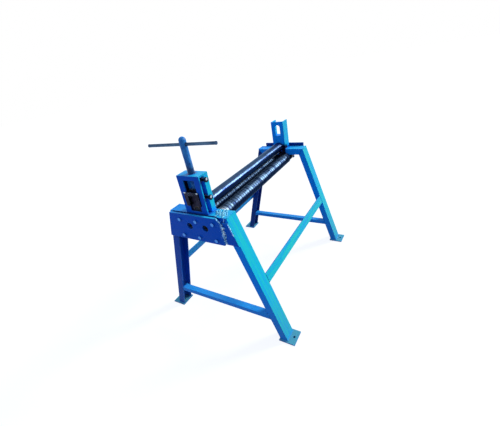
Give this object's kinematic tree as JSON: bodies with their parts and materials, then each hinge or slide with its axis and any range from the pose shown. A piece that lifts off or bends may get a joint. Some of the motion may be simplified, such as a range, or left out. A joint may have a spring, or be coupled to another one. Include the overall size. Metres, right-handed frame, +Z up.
{
  "type": "plate rolling machine",
  "caption": "Hand-operated plate rolling machine: rollers on a welded A-frame stand, the top one set by a pressure screw with a tommy bar.",
  "frame": {"origin": "on the floor at the middle of the footprint", "axes": "+X along the rollers away from the pressure screw, -Y towards the front, +Z up"},
  "size_m": [1.186, 0.9452, 1.193],
  "materials": {
    "frame_paint": "brushed gloss enamel, worn at edges",
    "block_iron": "dark, oiled and rubbed",
    "roller_steel": "turned, oily",
    "screw_paint": "blue overspray, greasy thread",
    "bar_steel": "dull bar steel",
    "bush_bronze": "turned bronze",
    "bolt_steel": "bright fasteners"
  },
  "bodies": {
    "frame": {"near_beam": "frame_paint", "near_stretcher": "frame_paint", "near_end_plate": "frame_paint", "near_plate_packing": "frame_paint", "near_plate_bolts": "bolt_steel", "near_front_leg": "frame_paint", "near_front_foot": "frame_paint", "near_front_boss": "frame_paint", "near_front_bush": "bush_bronze", "near_back_leg": "frame_paint", "near_back_foot": "frame_paint", "near_back_boss": "frame_paint", "near_back_bush": "bush_bronze", "far_beam": "frame_paint", "far_stretcher": "frame_paint", "far_end_plate": "frame_paint", "far_plate_packing": "frame_paint", "far_plate_bolts": "bolt_steel", "far_front_leg": "frame_paint", "far_front_foot": "frame_paint", "far_front_boss": "frame_paint", "far_front_bush": "bush_bronze", "far_back_leg": "frame_paint", "far_back_foot": "frame_paint", "far_back_boss": "frame_paint", "far_back_bush": "bush_bronze", "front_upright": "frame_paint", "front_guide_bar": "frame_paint", "front_rail": "frame_paint", "back_upright": "frame_paint", "back_guide_bar": "block_iron", "back_rail": "frame_paint", "near_plate_cheek": "frame_paint", "near_crossbar": "frame_paint", "guide_plate": "frame_paint", "bridge_plate": "frame_paint", "far_post": "frame_paint", "guide_screws": "bolt_steel", "guide_screw_nuts": "bolt_steel", "screw_nut": "bush_bronze"},
    "upper_carriage": {"near_block": "block_iron", "near_block_bush": "bush_bronze", "block_keeper": "block_iron", "keeper_screws": "bolt_steel", "foot_clamp": "block_iron", "clamp_screws": "bolt_steel", "far_block": "frame_paint", "far_block_bush": "bush_bronze"},
    "top_roll": {"top_roller": "roller_steel", "top_roller_collar": "bolt_steel"},
    "front_roll": {"front_lower_roller": "roller_steel"},
    "back_roll": {"back_lower_roller": "roller_steel"},
    "screw": {"pressure_screw": "screw_paint"},
    "bar": {"tommy_bar": "bar_steel"}
  },
  "joints": [
    {"name": "upper_lift", "type": "slide", "parent": "frame", "child": "upper_carriage", "axis": [0, 0, 1], "range_m": [-0.034, 0.05]},
    {"name": "screw_turn", "type": "hinge", "parent": "upper_carriage", "child": "screw", "pos_m": [-0.519, 0, 1], "axis": [0, 0, 1], "range_deg": [-2040, 3000]},
    {"name": "tommy_slide", "type": "slide", "parent": "screw", "child": "bar", "axis": [-0.075, 0.9972, 0], "range_m": [-0.193, 0.161]},
    {"name": "upper_roll_spin", "type": "hinge", "parent": "upper_carriage", "child": "top_roll", "pos_m": [0, 0, 0.82], "axis": [1, 0, 0], "continuous": true},
    {"name": "front_roll_spin", "type": "hinge", "parent": "frame", "child": "front_roll", "pos_m": [0, -0.0525, 0.732], "axis": [1, 0, 0], "continuous": true},
    {"name": "back_roll_spin", "type": "hinge", "parent": "frame", "child": "back_roll", "pos_m": [0, 0.0525, 0.732], "axis": [1, 0, 0], "continuous": true}
  ],
  "couplings": [
    {"joint": "upper_lift", "follows": "screw_turn", "m_per_rad": 0.00095493}
  ]
}
